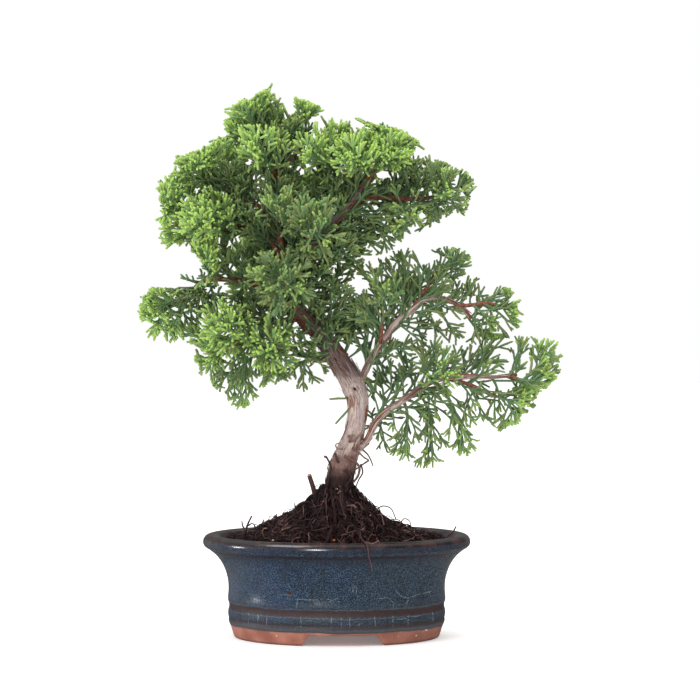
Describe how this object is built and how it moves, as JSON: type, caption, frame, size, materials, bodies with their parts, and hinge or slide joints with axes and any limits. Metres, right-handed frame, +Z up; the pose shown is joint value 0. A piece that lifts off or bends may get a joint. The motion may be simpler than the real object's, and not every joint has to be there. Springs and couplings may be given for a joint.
{
  "type": "bonsai tree in a pot",
  "caption": "Juniper bonsai with a leaning forked trunk and cord-leaved sprays, in soil in a low oval glazed pot that stands on two feet.",
  "frame": {"origin": "middle of the whole plant's box in X and Y, on the surface that the pot's feet stand on", "axes": "+Z up, along the tree; +X to the viewer's right along the pot's long side; the picture looks along +Y, so the front faces -Y"},
  "size_m": [0.261, 0.1654, 0.3355],
  "materials": {
    "glazed_pot": "gloss",
    "soil": "matte",
    "bark": "matte",
    "foliage": "satin",
    "drain_screen": "matte"
  },
  "bodies": {
    "root": {"drain_screen_left": "drain_screen", "drain_screen_right": "drain_screen", "pot": "glazed_pot", "soil": "soil", "spray_apex_1": "foliage", "spray_apex_2": "foliage", "spray_apex_3": "foliage", "spray_apex_4": "foliage", "spray_arch_1": "foliage", "spray_arch_back_1": "foliage", "spray_arch_far_1": "foliage", "spray_arch_front_1": "foliage", "spray_arch_up_1": "foliage", "spray_arch_up_2": "foliage", "spray_back_high_1": "foliage", "spray_back_high_2": "foliage", "spray_back_low_1": "foliage", "spray_back_low_2": "foliage", "spray_crown_left_1": "foliage", "spray_crown_left_2": "foliage", "spray_crown_right_1": "foliage", "spray_crown_right_2": "foliage", "spray_crown_right_3": "foliage", "spray_crown_right_4": "foliage", "spray_far_1": "foliage", "spray_far_2": "foliage", "spray_far_3": "foliage", "spray_far_4": "foliage", "spray_front_high_1": "foliage", "spray_front_high_2": "foliage", "spray_front_low_1": "foliage", "spray_lobe_1": "foliage", "spray_lobe_2": "foliage", "spray_lobe_3": "foliage", "spray_lobe_4": "foliage", "spray_lobe_5": "foliage", "spray_low_1": "foliage", "spray_low_2": "foliage", "spray_low_3": "foliage", "spray_low_4": "foliage", "spray_low_5": "foliage", "spray_low_middle_1": "foliage", "spray_low_middle_2": "foliage", "spray_low_middle_3": "foliage", "spray_low_right_1": "foliage", "spray_shoulder_1": "foliage", "spray_shoulder_2": "foliage", "spray_side_1": "foliage", "spray_side_2": "foliage", "spray_side_3": "foliage", "spray_tuft_1": "foliage", "spray_wide_1": "foliage", "spray_wide_2": "foliage", "spray_wide_3": "foliage", "spray_wide_4": "foliage", "spray_wide_5": "foliage", "spray_wide_6": "foliage", "trunk": "bark"}
  },
  "joints": []
}
